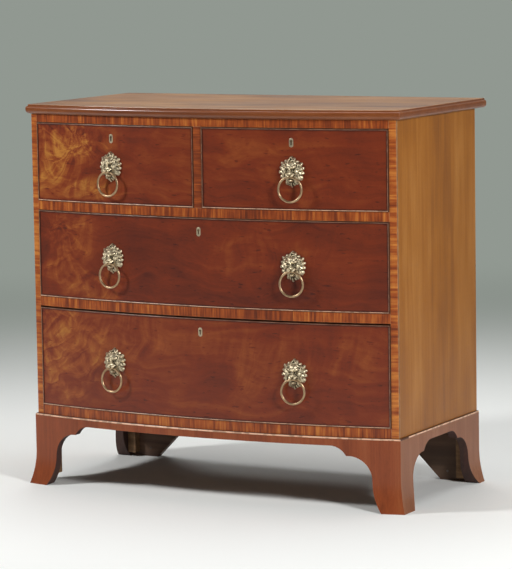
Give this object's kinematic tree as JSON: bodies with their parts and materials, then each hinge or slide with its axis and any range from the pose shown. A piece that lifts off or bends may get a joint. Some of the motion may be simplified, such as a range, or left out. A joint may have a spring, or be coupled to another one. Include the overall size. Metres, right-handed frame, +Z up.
{
  "type": "bow front chest of drawers",
  "caption": "Bow front chest: short drawers over long ones, lion mask ring handles, crossbanded rails, cockbeaded fronts, splayed bracket feet.",
  "frame": {"origin": "middle of the footprint, on the floor", "axes": "+X to the right seen from the front, +Y to the back, +Z up; the drawers open towards -Y"},
  "size_m": [0.936, 0.5038, 0.857],
  "materials": {
    "flame_mahogany": "french polished",
    "crossbanding": "french polished",
    "top_mahogany": "polished",
    "side_mahogany": "polished",
    "plinth_mahogany": "polished",
    "cockbead_wood": "polished",
    "oak_lining": "waxed",
    "pine": "unfinished",
    "brass": "antique",
    "lock_steel": "aged"
  },
  "bodies": {
    "root": {"back_boards": "pine", "bottom_board": "pine", "bottom_rail": "crossbanding", "carcase_sides": "side_mahogany", "drawer_divider": "crossbanding", "drawer_stops": "pine", "dustboards": "pine", "foot_blocks": "pine", "lower_drawer_rail": "crossbanding", "partition_board": "pine", "plinth_bead": "plinth_mahogany", "plinth_front": "plinth_mahogany", "plinth_sides": "plinth_mahogany", "rear_brackets": "pine", "stiles": "crossbanding", "top_board": "top_mahogany", "top_rail": "crossbanding", "upper_drawer_rail": "crossbanding"},
    "drawer_top_left": {"drawer_top_left_back": "oak_lining", "drawer_top_left_bottom": "oak_lining", "drawer_top_left_cockbead": "cockbead_wood", "drawer_top_left_escutcheon": "brass", "drawer_top_left_front": "flame_mahogany", "drawer_top_left_lock": "lock_steel", "drawer_top_left_masks": "brass", "drawer_top_left_sides": "oak_lining"},
    "drawer_top_right": {"drawer_top_right_back": "oak_lining", "drawer_top_right_bottom": "oak_lining", "drawer_top_right_cockbead": "cockbead_wood", "drawer_top_right_escutcheon": "brass", "drawer_top_right_front": "flame_mahogany", "drawer_top_right_lock": "lock_steel", "drawer_top_right_masks": "brass", "drawer_top_right_sides": "oak_lining"},
    "drawer_middle": {"drawer_middle_back": "oak_lining", "drawer_middle_bottom": "oak_lining", "drawer_middle_cockbead": "cockbead_wood", "drawer_middle_escutcheon": "brass", "drawer_middle_front": "flame_mahogany", "drawer_middle_lock": "lock_steel", "drawer_middle_masks": "brass", "drawer_middle_sides": "oak_lining"},
    "drawer_bottom": {"drawer_bottom_back": "oak_lining", "drawer_bottom_bottom": "oak_lining", "drawer_bottom_cockbead": "cockbead_wood", "drawer_bottom_escutcheon": "brass", "drawer_bottom_front": "flame_mahogany", "drawer_bottom_lock": "lock_steel", "drawer_bottom_masks": "brass", "drawer_bottom_sides": "oak_lining"},
    "bolt_bottom": {"drawer_bottom_lock_bolt": "lock_steel"},
    "bolt_middle": {"drawer_middle_lock_bolt": "lock_steel"},
    "bolt_top_left": {"drawer_top_left_lock_bolt": "lock_steel"},
    "bolt_top_right": {"drawer_top_right_lock_bolt": "lock_steel"},
    "ring_bottom_left": {"ring_bottom_left": "brass"},
    "ring_bottom_right": {"ring_bottom_right": "brass"},
    "ring_middle_left": {"ring_middle_left": "brass"},
    "ring_middle_right": {"ring_middle_right": "brass"},
    "ring_top_left": {"ring_top_left": "brass"},
    "ring_top_right": {"ring_top_right": "brass"}
  },
  "joints": [
    {"name": "top_left_drawer_slide", "type": "slide", "parent": "root", "child": "drawer_top_left", "axis": [0, -1, 0], "range_m": [0, 0.3]},
    {"name": "top_left_bolt_slide", "type": "slide", "parent": "drawer_top_left", "child": "bolt_top_left", "axis": [0, 0, 1], "range_m": [0, 0.008]},
    {"name": "ring_top_left_swing", "type": "hinge", "parent": "drawer_top_left", "child": "ring_top_left", "pos_m": [-0.22452, -0.2439, 0.7145], "axis": [-0.9941, 0.1088, 0], "range_deg": [-10, 100]},
    {"name": "top_right_drawer_slide", "type": "slide", "parent": "root", "child": "drawer_top_right", "axis": [0, -1, 0], "range_m": [0, 0.3]},
    {"name": "top_right_bolt_slide", "type": "slide", "parent": "drawer_top_right", "child": "bolt_top_right", "axis": [0, 0, 1], "range_m": [0, 0.008]},
    {"name": "ring_top_right_swing", "type": "hinge", "parent": "drawer_top_right", "child": "ring_top_right", "pos_m": [0.22452, -0.2439, 0.7145], "axis": [-0.9941, -0.1088, 0], "range_deg": [-10, 100]},
    {"name": "middle_drawer_slide", "type": "slide", "parent": "root", "child": "drawer_middle", "axis": [0, -1, 0], "range_m": [0, 0.3]},
    {"name": "middle_bolt_slide", "type": "slide", "parent": "drawer_middle", "child": "bolt_middle", "axis": [0, 0, 1], "range_m": [0, 0.008]},
    {"name": "ring_middle_left_swing", "type": "hinge", "parent": "drawer_middle", "child": "ring_middle_left", "pos_m": [-0.22452, -0.2439, 0.5125], "axis": [-0.9941, 0.1088, 0], "range_deg": [-10, 100]},
    {"name": "ring_middle_right_swing", "type": "hinge", "parent": "drawer_middle", "child": "ring_middle_right", "pos_m": [0.22452, -0.2439, 0.5125], "axis": [-0.9941, -0.1088, 0], "range_deg": [-10, 100]},
    {"name": "bottom_drawer_slide", "type": "slide", "parent": "root", "child": "drawer_bottom", "axis": [0, -1, 0], "range_m": [0, 0.3]},
    {"name": "bottom_bolt_slide", "type": "slide", "parent": "drawer_bottom", "child": "bolt_bottom", "axis": [0, 0, 1], "range_m": [0, 0.008]},
    {"name": "ring_bottom_left_swing", "type": "hinge", "parent": "drawer_bottom", "child": "ring_bottom_left", "pos_m": [-0.22452, -0.2439, 0.281], "axis": [-0.9941, 0.1088, 0], "range_deg": [-10, 100]},
    {"name": "ring_bottom_right_swing", "type": "hinge", "parent": "drawer_bottom", "child": "ring_bottom_right", "pos_m": [0.22452, -0.2439, 0.281], "axis": [-0.9941, -0.1088, 0], "range_deg": [-10, 100]}
  ]
}
